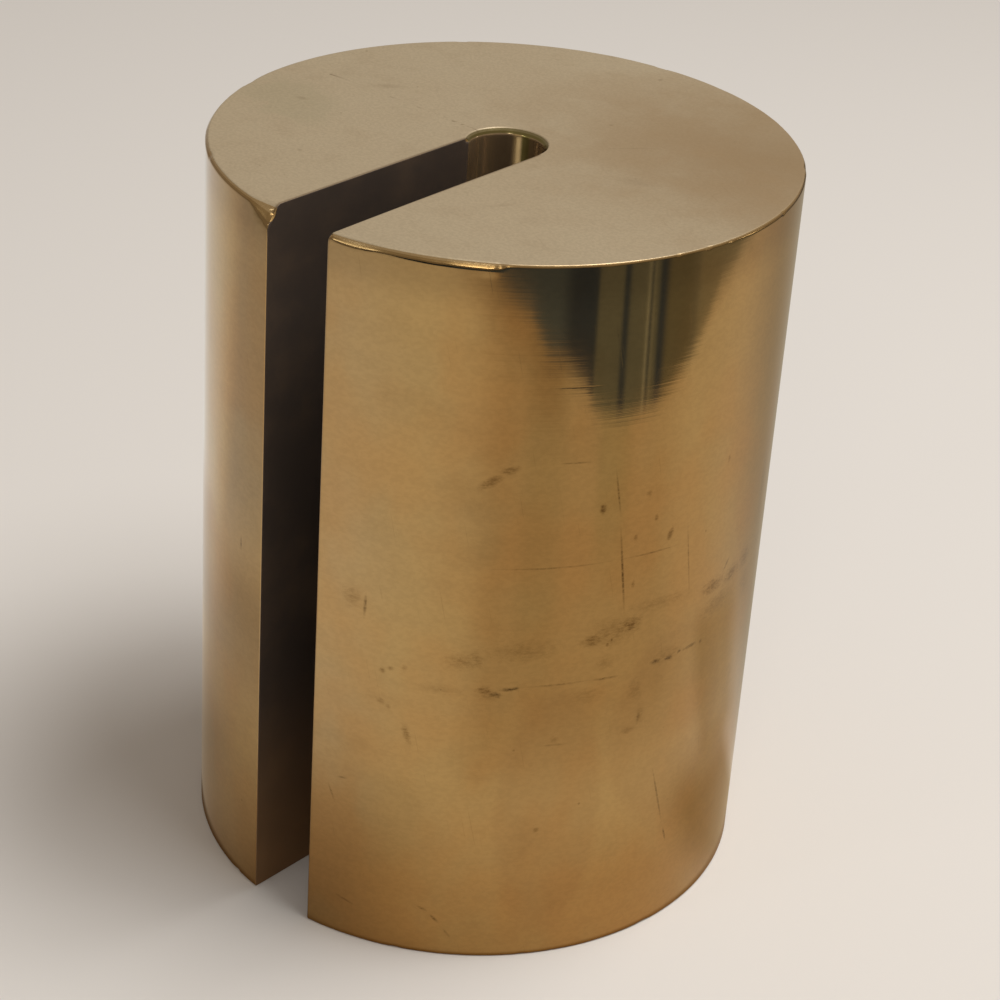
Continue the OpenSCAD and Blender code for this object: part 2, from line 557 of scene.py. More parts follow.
@dataclass(frozen=True)
class TurnedSide(BrassFinish):
    """The side: turned, handled and slightly tarnished, with the stains and scratches of use, and painted shade and
    sheen.
    """

    radius: float = 31.5
    line_height: float = 0.0022
    hazy_colour: Colour = tone(150, 128, 92)
    warm_colour: Colour = tone(184, 136, 78)
    # Duller, paler brass, partly tarnish and partly painted sheen, on the side that faces the left
    tarnish_and_sheen_colour: Colour = tone(192, 164, 122)
    # The painted reflections of the floor's shade
    mirrored_shade_colour: Colour = tone(132, 88, 56)
    # The painted shade just under the rim
    under_rim_shade_colour: Colour = tone(112, 86, 54)
    stain_colour: Colour = tone(94, 62, 22)
    scratch_colour: Colour = tone(66, 44, 20)
    tarnish_and_sheen_angle: float = -105.0
    spread: float = 1.4

    def marks(self, kind: MarkKind) -> Iterator[Mark]:
        """Places the marks of one kind on the unrolled side. Those whose patches fade are wider, by spread.

        Args:
            kind: Which marks.

        Yields:
            Each mark.
        """
        wider = 1.0 if kind is MarkKind.TINT else self.spread
        for angle, up, half_length, half_width, *rest in SIDE_MARKS[kind]:
            shape = (*rest, kind.value)[:4]
            yield Mark(math.radians(angle) * self.radius, up, half_length, wider * half_width, *shape)

    def paint(self, d: Desk, effects: Effects, place: Socket, edge: Socket) -> Paint:
        """Paints the side. Args and Returns are those of BrassFinish.paint."""
        x, y, z = d.split(place)
        up = d.times(z, 1 / MM)
        flat = d.join(d.times(d.sum("ARCTAN2", y, x), self.radius), up, 0.0)
        lines = d.use(effects.lines, place, Pitch=0.6, Length=60.0)
        coarse = d.use(effects.lines, place, Pitch=2.4, Length=90.0)
        cloud = d.mask(effects.cloud, place, Size=22.0, Flatness=1.4, Low=0.42, High=0.66)
        warm = d.mask(effects.cloud, place, Size=11.0, Flatness=0.7, Low=0.4, High=0.64, Detail=2.0)
        bloom = d.mask(effects.cloud, place, Size=7.0, Flatness=1.2, Low=0.5, High=0.78)
        grain = d.mask(effects.cloud, place, Size=0.7, Flatness=1.6, Low=0.3, High=0.7, Detail=3.0)
        specks = d.mask(effects.specks, place, Spacing=3.4, Size=0.16, Share=0.3)
        hairs = d.mask(effects.hairs, flat, Turn=math.radians(78), Length=9.0, Width=0.22, Level=0.72)
        push = d.noise(d.vector("MULTIPLY", flat, (1.4, 2.4, 1.0)), 8.0, 0.78)
        broken = d.noise(d.vector("MULTIPLY", flat, (1.3, 3.2, 1.0)), 8.0, 0.8)
        patches = d.step(broken, 0.40, 0.60, 0.3, 1.0)
        stains = self.blots(d, effects, flat, push, self.marks(MarkKind.STAIN), patches)
        scratches = self.blots(d, effects, flat, push, self.marks(MarkKind.SCRATCH), patches)
        # Painted reflections of the floor's shade, as broad faint tones
        mirrored_shades = self.blots(d, effects, flat, push, self.marks(MarkKind.TINT))
        # Partly tarnish, partly painted sheen: duller and paler brass on the side that faces the left, where light
        # falls
        ray = math.radians(self.tarnish_and_sheen_angle)
        facing = (math.cos(ray) / (self.radius * MM), math.sin(ray) / (self.radius * MM), 0.0)
        dull = d.times(d.step(d.vector("DOT_PRODUCT", place, facing), 0.72, 0.93), d.stack(0.35, (cloud, 0.15)))
        # Painted shade: the side darkens towards the top, just under the rim
        under_rim_shade = d.step(up, 77.0, 81.5)
        worn = d.band(up, 50.0, 62.0, 68.0, 78.0)

        colour = d.coat(
            self.colour, (dull, 1, self.tarnish_and_sheen_colour), (cloud, 0.12, self.hazy_colour),
            (warm, 0.35, self.warm_colour), (bloom, 0.1, self.grime_colour),
        )
        streaks = d.times(d.step(lines["Tone"], 0.3, 0.7, 0.985, 1.015), d.step(grain, 0.0, 1.0, 0.965, 1.035))
        colour = d.coat(
            d.scale(colour, streaks), (mirrored_shades, 0.16, self.mirrored_shade_colour), (specks, 0.35, self.grime_colour),
            (hairs, 0.14, self.grime_colour), (under_rim_shade, 0.26, self.under_rim_shade_colour),
            (stains, 0.84, self.stain_colour), (scratches, 0.86, self.scratch_colour),
            (edge, 0.4, self.edge_colour),
        )
        rough = d.stack(self.roughness, (cloud, 0.02), (bloom, 0.03), (stains, 0.2), (hairs, 0.06), (edge, 0.14))
        deep = d.stack(self.line_height, (worn, self.line_height))
        high = d.stack(0.0, (lines["Height"], deep), (coarse["Height"], 0.05 * self.line_height),
                       (scratches, -0.004), (hairs, -0.0006))
        return colour, rough, high


@dataclass(frozen=True)
class OxidisedFace(BrassFinish):
    """A flat face: matt, greyed by oxide, with faint blotches, specks, fine scratches and painted shade over one
    side.
    """

    pale_colour: Colour = tone(188, 172, 142)
    green_colour: Colour = tone(132, 130, 96)
    brown_colour: Colour = tone(146, 118, 80)
    green: Mark = Mark(-23.3, -9.0, 5.5, 3.4, -22.0, 0.16, 1.6, 1.0)
    # A broad brown patch over the right of the face: painted shade, darker and browner to that side
    brown: Mark = Mark(23.0, 19.0, 38.0, 34.0, 0.0, 0.75, 0.2, 1.0)
    spots: tuple[Mark, ...] = ()
    edge_roughness: float = 0.22
    ragged: float = 0.8
    shine: float = 0.35
    bare: float = 0.7

    def paint(self, d: Desk, effects: Effects, place: Socket, edge: Socket) -> Paint:
        """Paints the face. Args and Returns are those of BrassFinish.paint."""
        flat = d.scale(place, 1 / MM)
        plan = d.vector("MULTIPLY", flat, (1.0, 1.0, 0.0))
        cloud = d.mask(effects.cloud, place, Size=13.0, Low=0.36, High=0.68, Detail=5.0)
        dull = d.mask(effects.cloud, place, Size=4.0, Low=0.48, High=0.74, Detail=6.0)
        grain = d.mask(effects.cloud, place, Size=0.35, Low=0.3, High=0.7, Detail=3.0)
        specks = d.mask(effects.specks, place, Spacing=3.0, Size=0.17, Share=0.35)
        hairs = d.sum("MAXIMUM", d.mask(effects.hairs, flat, Turn=0.5, Length=7.0, Width=0.3, Level=0.7),
                      d.mask(effects.hairs, flat, Turn=-0.8, Length=5.0, Width=0.25, Level=0.72))
        green = self.blots(d, effects, plan, dull, [self.green])
        # Painted shade that darkens and browns one side of the face
        brown = self.blots(d, effects, plan, cloud, [self.brown])
        spots = self.blots(d, effects, plan, d.noise(plan, 5.0, 0.65), self.spots)
        ring = d.step(d.vector("LENGTH", plan), 5.3, 4.7)
        # The face is darker within 0.4 mm of the slot's edges
        fringe = d.step(d.attribute(SLOT_NAME), 0.4, 0.0)

        colour = d.coat(self.colour, (cloud, 0.4, self.pale_colour), (dull, 0.13, self.grime_colour))
        colour = d.coat(
            d.scale(colour, d.step(grain, 0.0, 1.0, 0.94, 1.05)), (green, 1, self.green_colour),
            (brown, 1, self.brown_colour), (hairs, 0.07, self.grime_colour), (specks, 0.4, self.grime_colour),
            (spots, 0.5, self.grime_colour), (edge, self.bare, d.mix(ring, self.edge_colour, self.ring_colour)),
            (fringe, 0.75, self.grime_colour),
        )
        rough = d.blend(edge, d.stack(self.roughness, (cloud, -0.07), (dull, 0.08)), self.edge_roughness)
        return colour, rough, d.stack(0.0, (grain, 0.004), (specks, -0.004))


@dataclass(frozen=True)
class SlotWall(BrassFinish):
    """A slot wall: milled, and nearly black with old oxide, with a little dust on it."""

    brown_colour: Colour = tone(170, 136, 100)
    dust_colour: Colour = tone(186, 176, 158)
    ragged: float = 0.7
    shine: float = 0.6

    def paint(self, d: Desk, effects: Effects, place: Socket, edge: Socket) -> Paint:
        """Paints the wall, browner towards its foot. Args and Returns are those of BrassFinish.paint."""
        lines = d.use(effects.lines, place, Pitch=0.7, Length=30.0)["Height"]
        cloud = d.mask(effects.cloud, place, Size=9.0, Low=0.4, High=0.75)
        dust = d.mask(effects.specks, place, Spacing=2.6, Size=0.13, Share=0.22)
        foot = d.step(d.split(place)[2], 30 * MM, 4 * MM)
        brown = d.sum("MULTIPLY_ADD", foot, 0.8, d.times(cloud, 0.2), clamp=True)
        colour = d.coat(self.colour, (brown, 1, self.brown_colour), (dust, 0.7, self.dust_colour),
                        (edge, 1, self.edge_colour))
        return colour, d.stack(self.roughness, (cloud, 0.1)), d.stack(0.0, (lines, 0.004), (dust, 0.02))


@dataclass(frozen=True)
class DrilledSeat(BrassFinish):
    """The seat's wall: reamed brass, brown with age, with brighter streaks where the stem has rubbed it."""

    pale_streak_colour: Colour = tone(206, 176, 122)
    olive_colour: Colour = tone(158, 144, 84)
    edge_width: float = 0.08
    ragged: float = 0.4
    shine: float = 0.72

    def paint(self, d: Desk, effects: Effects, place: Socket, edge: Socket) -> Paint:
        """Paints the seat. Args and Returns are those of BrassFinish.paint."""
        upright = d.vector("MULTIPLY", place, (1 / (1.1 * MM), 1 / (1.1 * MM), 1 / (60 * MM)))
        streaks = d.step(d.noise(upright, 3.0, 0.6), 0.42, 0.66)
        lines = d.use(effects.lines, place, Pitch=0.3, Length=6.0)["Height"]
        cloud = d.mask(effects.cloud, place, Size=5.0, Low=0.4, High=0.7)
        angle = d.degrees(place)
        colour = d.coat(
            self.colour, (streaks, 0.25, self.pale_streak_colour), (cloud, 0.4, self.grime_colour),
            # Two bands at fixed angles round the seat: olive from 90 to 112 degrees and paler from 104 to 124 degrees
            (d.band(angle, 90.0, 97.0, 106.0, 112.0), 1, self.olive_colour),
            (d.band(angle, 104.0, 110.0, 117.0, 124.0), 1, self.pale_streak_colour), (edge, 1, self.ring_colour),
        )
        rough = d.stack(self.roughness, (streaks, -0.08), (cloud, 0.1))
        return colour, rough, d.stack(0.0, (lines, 0.002), (streaks, 0.004))


# The weight


class Skin(Enum):
    """The finishes of the weight's surfaces, by their place in its list of materials."""

    SIDE = 0
    TOP = 1
    BASE = 2
    SLOT = 3
    SEAT = 4


@dataclass(frozen=True)
class Ding:
    """A place on a rim where knocks have widened the broken edge."""

    angle: float
    half_width: float
    extra: float


@dataclass
class WeightBody:
    """The whole weight, one piece of brass, with its edges broken and knocked.

    Its skin is that of a block of numbered rows: i runs outwards from the seat to the side, j round the axis from
    the slot's right wall to its left wall, and k up. The six sides of that block are the seat, the side, the two
    slot walls and the two faces, so the mesh is closed by the way that it is numbered.
    """

    radius: float
    height: float
    finishes: dict[Skin, bpy.types.Material]
    slot_left: float = -3.5
    slot_right: float = 4.5
    seat_radius: float = 4.0
    rim_breaks: tuple[tuple[float, float], ...] = (
        (-90.0, 0.40), (-81.0, 0.40), (-78.6, 0.58), (-74.4, 0.58), (-72.0, 0.42), (-60.0, 0.48), (-51.5, 0.48),
        (-48.0, 0.20), (-14.0, 0.18), (4.0, 0.26), (60.0, 0.28), (130.0, 0.32), (200.0, 0.38), (270.0, 0.40),
    )
    base_break: float = 0.18
    slot_break: float = 0.06
    seat_break: float = 0.56
    mouth_break: float = 0.10
    # The right wall's top edge: its break at the seat, and how much wider that is at the mouth
    top_right: tuple[float, float] = (0.1, 0.4)
    # The edges where the seat meets the right and the left wall
    seat_right: float = 0.14
    seat_left: float = 0.12
    # The mouth's edges: how much wider than mouth_break, and how much wider still from one height up to another
    right_mouth: tuple[float, float, float, float] = (0.2, 0.4, 82.0, 82.9)
    left_mouth: tuple[float, float, float, float] = (0.0, 0.7, 81.0, 82.9)
    # The facet worn at the rim's left corner: how much wider the break is, and the angles between which it grows
    facet: tuple[float, float, float] = (1.4, 257.4, 263.8)
    # A lip knocked out of the side by the rim: its depth, its angle and half width, its height and half height
    lip: tuple[float, float, float, float, float] = (0.05, -51.0, 1.6, 82.2, 0.5)
    # Each rim's unevenness: how many random steps it has round it and how deep they are, the fine ones first
    uneven: tuple[tuple[int, float], ...] = ((420, 0.01), (60, 0.016))
    # The least that unevenness may add to a rim's break
    top_least: float = -0.06
    base_least: float = -0.08
    # How much of a worn edge's width is bright, and the distance from an edge that counts as far
    bright: float = 0.6
    unworn: float = 4.0
    # How steep the broken edges of the rims and the seat are, by the angle round the axis
    rim_steepness: tuple[tuple[float, float], ...] = (
        (-90.0, 1.16), (-81.0, 1.16), (-79.0, 1.30), (-74.0, 1.30), (-71.0, 1.22), (-49.0, 1.22), (-46.0, 1.16),
        (80.0, 1.16), (100.0, 1.22), (160.0, 1.22), (190.0, 1.16), (270.0, 1.16),
    )
    # How far apart the rows stand in height, outwards and round, and how much closer round by a ding, within a margin
    pitch: float = 1.05
    outward_pitch: float = 1.3125
    round_pitch: float = 1.2075
    crowding: float = 3.2
    margin: float = 2.5
    # How far the rows by an edge are from it
    fine: tuple[float, ...] = (0, 0.04, 0.09, 0.15, 0.22, 0.31, 0.43, 0.6, 0.85, 1.2, 1.7, 2.4)
    top_dings: tuple[Ding, ...] = (
        Ding(-49.4, 1.0, 0.16), Ding(-9.6, 0.9, 0.16), Ding(-3.6, 0.7, 0.12),
        Ding(-16.5, 0.8, 0.12), Ding(14.0, 0.9, 0.16), Ding(-30.0, 2.0, 0.04),
        Ding(38.0, 2.5, 0.12), Ding(97.0, 3.0, 0.18), Ding(141.0, 1.6, 0.2), Ding(196.0, 3.4, 0.14),
        Ding(236.0, 2.0, 0.12),
    )
    base_dings: tuple[Ding, ...] = (
        Ding(-62.0, 2.0, 0.12), Ding(-36.0, 1.4, 0.1), Ding(-8.0, 2.4, 0.14), Ding(58.0, 3.0, 0.2),
        Ding(120.0, 2.0, 0.18), Ding(171.0, 4.0, 0.25), Ding(222.0, 2.2, 0.18), Ding(257.0, 1.5, 0.16),
    )

    def heights(self) -> np.ndarray:
        """Spaces the rows k closely by both faces, and evenly between.

        Returns:
            Their heights.
        """
        near = np.array(self.fine)
        count = round((self.height - 2 * near[-1]) / self.pitch)
        middle = np.linspace(near[-1], self.height - near[-1], count + 1)[1:-1]
        return np.concatenate([near, middle, self.height - near[::-1]])

    def radii(self) -> np.ndarray:
        """Spaces the rows i closely by the seat and the side, and evenly between.

        Just past the seat, their radii are those of points spaced along the slot's right wall, sqrt(x^2 + y^2).

        Returns:
            Their radii.
        """
        step = self.seat_radius + np.array([0, 0.06, 0.13, 0.21, 0.3, 0.4])
        along = np.array([0, 0.5, 1.0, 1.5, 2.1, 2.8, 3.7, 4.8])
        wall = np.hypot(self.slot_right, along)
        outer = self.radius - np.array(self.fine)[::-1]
        count = round((outer[0] - wall[-1]) / self.outward_pitch)
        middle = np.linspace(wall[-1], outer[0], count + 1)[1:-1]
        return np.concatenate([step, wall, middle, outer])

    def angles(self, radii: np.ndarray) -> np.ndarray:
        """Gives the angle of each node of the plan, for rows i and columns j.

        By a wall, a column keeps its distance d from it: half of it as a shift of the wall, acos((x + d/2) / r),
        and half as an arc, d / 2r. Between, the columns share out the angle evenly, but stand closer where the
        rims are knocked.

        Args:
            radii: The radii of the rows i.

        Returns:
            The angles, in radians, one row per radius.
        """
        near = np.array(self.fine[:9]) / 2
        r = radii[:, None]
        right = -np.arccos(np.clip((self.slot_right + near) / r, -1, 1)) + near / r
        left = np.pi + np.arccos(np.clip((near - self.slot_left) / r, -1, 1)) - near / r
        first, last = np.degrees(right[-1, -1]), np.degrees(left[-1, -1])
        spots = np.linspace(first, last, 8000)
        crowd = np.ones_like(spots)
        for ding in self.top_dings + self.base_dings:
            crowd = np.maximum(crowd, 1 + self.crowding * window(spots, ding.angle, ding.half_width + self.margin))
        run = np.concatenate([[0], np.cumsum((crowd[1:] + crowd[:-1]) / 2 * np.diff(spots))])
        count = round(run[-1] / np.degrees(self.round_pitch / self.radius))
        share = (np.interp(np.linspace(0, run[-1], count + 1), run, spots)[1:-1] - first) / (last - first)
        middle = right[:, -1:] + share[None, :] * (left[:, -1:] - right[:, -1:])
        return np.concatenate([right, middle, left[:, ::-1]], axis=1)

    @staticmethod
    def away(dx: np.ndarray, dy: np.ndarray, usual: tuple[Some, Some]) -> tuple[np.ndarray, np.ndarray]:
        """Turns each node's offset from a wall into a distance and a direction, into the metal.

        Args:
            dx: The offsets' X.
            dy: The offsets' Y.
            usual: The X and Y of the direction of a node on the wall.

        Returns:
            The distances, and the directions as rows of X, Y and Z.
        """
        far = np.hypot(dx, dy)
        off = far > TINY
        safe = np.where(off, far, 1.0)
        return far, np.stack([np.where(off, dx / safe, usual[0]), np.where(off, dy / safe, usual[1]), 0 * far], 1)

    def from_right(self, x: np.ndarray, y: np.ndarray) -> tuple[np.ndarray, np.ndarray]:
        """Measures from the right wall and the small step by which it meets the seat.

        Args:
            x: The nodes' X.
            y: The nodes' Y.

        Returns:
            The distances and directions that away gives.
        """
        dx = np.where((y > 0) & (x < self.slot_right), 0.0, x - self.slot_right)
        on_step = (x < self.slot_right - TINY) & (y > -TINY)
        return self.away(dx, np.where(y <= 0, 0.0, y), (np.where(on_step, 0.0, 1.0), np.where(on_step, 1.0, 0.0)))

    def from_left(self, x: np.ndarray, y: np.ndarray) -> tuple[np.ndarray, np.ndarray]:
        """Measures from the left wall, which ends in a ridge where it meets the seat, as from_right does."""
        ridge = -math.sqrt(self.seat_radius**2 - self.slot_left**2)
        return self.away(x - self.slot_left, np.where(y <= ridge, 0.0, y - ridge), (-1.0, 0.0))

    def knocks(self, angle: np.ndarray, dings: tuple[Ding, ...], seed: int) -> np.ndarray:
        """Adds up how much wider a rim's broken edge is at each angle: its dings, and a little unevenness.

        Args:
            angle: The nodes' angles, in degrees.
            dings: The rim's dings.
            seed: Fixes the unevenness.

        Returns:
            The extra width, in millimetres.
        """
        random = np.random.default_rng(seed)
        uneven = sum(
            np.interp(angle, np.linspace(-90, 270, count), random.normal(0, depth, count))
            for count, depth in self.uneven
        )
        return uneven + sum(d.extra * window(angle, d.angle, d.half_width) for d in dings)

    @staticmethod
    def soften(far: np.ndarray, width: Some, power: float) -> np.ndarray:
        """Gives how far a node near an edge moves along both faces' inward normals to break that edge.

        A node at distance s from an edge of width w moves by (w / 2p) (1 - s / w)^p along both normals. With p of 1
        that makes a plain chamfer at 45 degrees, and with p of 2 a rounding.

        Args:
            far: The distances s.
            width: The widths w.
            power: The power p.

        Returns:
            The moves, 0 beyond the width.
        """
        return width / (2 * power) * np.clip(1 - far / width, 0, 1) ** power

    def shape(self) -> tuple[np.ndarray, np.ndarray, np.ndarray, np.ndarray, np.ndarray]:
        """Works out the whole skin, with each edge broken as soften says.

        On the rims and the seat, whose edges are worn to bright metal, distances along the first face are divided
        by the steepness t and those along the second multiplied by it, and the moves the other way round. That makes
        the broken edge t^2 times as high as it is wide.

        Returns:
            The nodes' places in millimetres, the quads, each quad's finish, each node's distance past its nearest
            broken edge in millimetres, and its distance from the slot.
        """
        radii, heights = self.radii(), self.heights()
        angles = self.angles(radii)
        rows, columns, levels = len(radii), angles.shape[1], len(heights)
        i, j, k = np.meshgrid(np.arange(rows), np.arange(columns), np.arange(levels), indexing="ij")
        skin = (i == 0) | (i == rows - 1) | (j == 0) | (j == columns - 1) | (k == 0) | (k == levels - 1)
        number = np.full(skin.shape, -1)
        number[skin] = np.arange(skin.sum())
        i, j, k = i[skin], j[skin], k[skin]

        r, angle, z = radii[i], angles[i, j], heights[k]
        x, y = r * np.cos(angle), r * np.sin(angle)
        out = np.stack([-np.cos(angle), -np.sin(angle), np.zeros_like(r)], 1)
        seat = -out
        far_out, far_seat = self.radius - r, r - self.seat_radius
        far_top, far_base = self.height - z, z
        far_right, right = self.from_right(x, y)
        far_left, left = self.from_left(x, y)
        down, up = np.array([0, 0, -1.0]), np.array([0, 0, 1.0])
        degrees = np.degrees(angle)

        turned_rim = np.interp(degrees, *np.array(self.rim_breaks).T)
        top_rim = turned_rim + np.maximum(self.knocks(degrees, self.top_dings, 3), self.top_least)
        top_rim += self.facet[0] * rise(degrees, *self.facet[1:])
        base_rim = self.base_break + np.maximum(self.knocks(degrees, self.base_dings, 4), self.base_least)
        outward = (r - self.seat_radius) / (self.radius - self.seat_radius)
        top_right = self.top_right[0] + self.top_right[1] * outward**2
        right_mouth, left_mouth = (
            self.mouth_break + wider + extra * rise(z, *ends)
            for wider, extra, *ends in (self.right_mouth, self.left_mouth)
        )
        # For each edge: the distance from the one face and the way into the metal there, the same for the other
        # face, the width, the power, and whether it is worn to bright metal
        edges = (
            (far_top, down, far_out, out, top_rim, 1.06, True),
            (far_base, up, far_out, out, base_rim, 1.3, True),
            (far_top, down, far_right, right, top_right, 1.4, False),
            (far_base, up, far_right, right, self.slot_break, 1.2, False),
            (far_top, down, far_left, left, self.slot_break, 1.2, False),
            (far_base, up, far_left, left, self.slot_break, 1.2, False),
            (far_top, down, far_seat, seat, self.seat_break, 1.05, True),
            (far_base, up, far_seat, seat, self.seat_break, 1.05, True),
            (far_out, out, far_right, right, right_mouth, 1.4, False),
            (far_out, out, far_left, left, left_mouth, 1.4, False),
            (far_seat, seat, far_right, right, self.seat_right, 1.4, False),
            (far_seat, seat, far_left, left, self.seat_left, 1.4, False),
        )
        place = np.stack([x, y, z], 1)
        past = np.full_like(r, self.unworn)
        steepness = np.interp(degrees, *np.array(self.rim_steepness).T)
        for first, first_way, second, second_way, width, power, worn in edges:
            steep = steepness if worn else np.ones_like(r)
            far = np.hypot(first / steep, second * steep)
            move = self.soften(far, width, power)[:, None]
            place += move * (first_way * steep[:, None] + second_way / steep[:, None])
            if worn:
                past = np.minimum(past, far - self.bright * width)
        depth, at, half_width, high, half_height = self.lip
        lip = depth * window(degrees, at, half_width) * window(z, high, half_height) * (far_out < TINY)
        place -= lip[:, None] * out
        place[:, 2] = np.clip(place[:, 2], 0, self.height)

        quads, finish = self.quads(number)
        return place, quads, finish, past, np.minimum(far_left, far_right)

    @staticmethod
    def quads(number: np.ndarray) -> tuple[np.ndarray, np.ndarray]:
        """Joins the numbered nodes of the block's six sides into quads that face outwards.

        Args:
            number: Each skin node's number, by its i, j and k.

        Returns:
            The quads and their finishes.
        """
        sides = (
            (number[-1], Skin.SIDE, False),
            (number[0], Skin.SEAT, True),
            (number[:, 0], Skin.SLOT, False),
            (number[:, -1], Skin.SLOT, True),
            (number[:, :, -1], Skin.TOP, False),
            (number[:, :, 0], Skin.BASE, True),
        )
        quads, finish = [], []
        for sheet, skin, turned in sides:
            sheet = sheet.T if turned else sheet
            four = np.stack([sheet[:-1, :-1], sheet[1:, :-1], sheet[1:, 1:], sheet[:-1, 1:]], -1).reshape(-1, 4)
            quads.append(four)
            finish.append(np.full(len(four), skin.value))
        return np.concatenate(quads), np.concatenate(finish)

    def build(self) -> None:
        """Makes the piece, dresses it, and lets it stand for the weight's CAD node."""
        place, quads, finish, past, beside = self.shape()
        mesh = bpy.data.meshes.new("weight_brass")
        mesh.vertices.add(len(place))
        mesh.vertices.foreach_set("co", (place * MM).astype(np.float32).ravel())
        mesh.loops.add(quads.size)
        mesh.loops.foreach_set("vertex_index", quads.ravel().astype(np.int32))
        mesh.polygons.add(len(quads))
        mesh.polygons.foreach_set("loop_start", np.arange(0, quads.size, 4, dtype=np.int32))
        mesh.polygons.foreach_set("material_index", finish.astype(np.int32))
        mesh.polygons.foreach_set("use_smooth", np.ones(len(quads), dtype=bool))
        mesh.update(calc_edges=True)
        mesh.validate()
        for name, values in ((EDGE_NAME, past), (SLOT_NAME, beside)):
            mesh.attributes.new(name, "FLOAT", "POINT").data.foreach_set("value", values.astype(np.float32))
        for skin in Skin:
            mesh.materials.append(self.finishes[skin])
        piece = bpy.data.objects.new("weight_brass", mesh)
        bpy.context.scene.collection.objects.link(piece)
        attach(piece, "root")
        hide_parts("weight_body")
        LOG.info("%s: %d quads, one closed skin", piece.name, len(quads))


# The stage


@dataclass
class SoftLamp:
    """A large soft lamp, placed by its direction from the weight."""

    name: str
    azimuth: float
    elevation: float
    distance: float
    size: float
    power: float
    colour: Colour
    aim: tuple[float, float, float] = (0.0, 0.0, 30.0)

    def build(self) -> None:
        """Hangs the lamp so that it points at its aim."""
        lamp = bpy.data.lights.new(self.name, "AREA")
        lamp.shape = "DISK"
        lamp.size = self.size * MM
        lamp.energy = self.power
        lamp.color = self.colour
        a, e = math.radians(self.azimuth), math.radians(self.elevation)
        back = np.array([math.cos(a) * math.cos(e), math.sin(a) * math.cos(e), math.sin(e)])
        holder = bpy.data.objects.new(self.name, lamp)
        holder.visible_camera = False
        side = np.array([-math.sin(a), math.cos(a), 0.0])
        turn = Matrix(np.stack([side, np.cross(back, side), back], 1).tolist())
        spot = (np.array(self.aim) + back * self.distance) * MM
        holder.matrix_world = Matrix.Translation(spot.tolist()) @ turn.to_4x4()
        bpy.context.scene.collection.objects.link(holder)
        LOG.info("%s at %.0f degrees, %.0f mm away", self.name, self.azimuth, self.distance)


@dataclass
class Camera:
    """The camera at the photograph's viewing angle.

    Its azimuth is that of its place round the axis, and pan, tilt and roll turn it from looking straight at the
    axis. The picture is taken to be 1000 pixels square.
    """

    azimuth: float = 40.215
    distance: float = 256.64
    height: float = 183.13
    pan: float = 0.4209
    tilt: float = 29.145
    roll: float = -3.9642
    lens: float = 93.55
    sensor: float = 36.0

    def build(self) -> None:
        """Makes the camera and gives it to the scene."""
        pan, tilt, roll, turn = (math.radians(v) for v in (self.pan, self.tilt, self.roll, self.azimuth))
        ahead = np.array([math.sin(pan) * math.cos(tilt), math.cos(pan) * math.cos(tilt), -math.sin(tilt)])
        level = np.array([math.cos(pan), -math.sin(pan), 0.0])
        fall = np.cross(ahead, level)
        right = math.cos(roll) * level + math.sin(roll) * fall
        down = -math.sin(roll) * level + math.cos(roll) * fall
        local = Matrix(np.stack([right, -down, -ahead], 1).tolist()).to_4x4()
        local.translation = (0.0, -self.distance * MM, self.height * MM)
        data = bpy.data.cameras.new("view")
        data.sensor_width = self.sensor
        data.lens = self.lens
        data.clip_start, data.clip_end = 0.01, 20.0
        camera = bpy.data.objects.new("view", data)
        camera.matrix_world = Matrix.Rotation(turn, 4, "Z") @ local
        bpy.context.scene.collection.objects.link(camera)
        bpy.context.scene.camera = camera
        LOG.info("camera: %.1f mm lens, %.0f mm from the axis", self.lens, self.distance)


@dataclass(frozen=True)
class Patch:
    """A patch of painted tone in the floor's mirror image, in a sector round the weight's axis and between rings
    round it.

    The sector's four angles are those that Desk.band takes, in degrees from -180 to 180, or from 0 to 360 where the
    last is over 180. For each ring, the tone is 0 at the first distance from the axis, in millimetres, and full at
    the second.
    """

    colour: Colour
    sector: tuple[float, ...] = ()
    rings: tuple[tuple[float, float], ...] = ()
    share: float = 1.0


# The cloth's painted shade and light, which only mirror images of the floor show
MIRRORED_CLOTH_SHADING = (
    # Painted shade, darker cloth off to the right and behind
    Patch((0.62, 0.57, 0.50), (16, 34, 100, 130), ((55, 80),), 0.5),
    # Painted shade in front and to the right, as folds in which the cloth is darker
    Patch((0.545, 0.46, 0.37), (-58, -42, 12, 34), ((55, 80),), 0.7),
    Patch((0.50, 0.47, 0.40), (-40, -33, -27, -19), ((78, 105),), 0.55),
    Patch((0.46, 0.45, 0.36), (-13, -8, -2, 5), ((92, 140),), 0.5),
    # To the left, a dusky lane of painted shadow between paler cloth of painted light
    Patch((0.54, 0.51, 0.49), (190, 218, 230, 252), ((102, 80), (56, 80))),
    Patch((0.90, 0.93, 0.94), (120, 155, 184, 202), ((80, 102),)),
    Patch((0.62, 0.64, 0.70), (194, 206, 220, 236), ((82, 105),)),
    Patch((0.85, 0.86, 0.89), (234, 256, 284, 308), ((50, 72),)),
    # Close to the weight, all painted: its contact shadow, the light on the left, and the shade on the right
    Patch((0.66, 0.59, 0.51), (), ((60, 38),)),
    Patch((1.0, 0.95, 0.84), (110, 150, 226, 262), ((66, 48),)),
    Patch((0.42, 0.38, 0.30), (44, 84, 110, 160)),
    Patch((0.46, 0.38, 0.26), (8, 26, 46, 56), ((58, 42),)),
    Patch((0.36, 0.28, 0.12), (30, 39, 52, 66), ((46, 54), (92, 80)), 0.42),
)
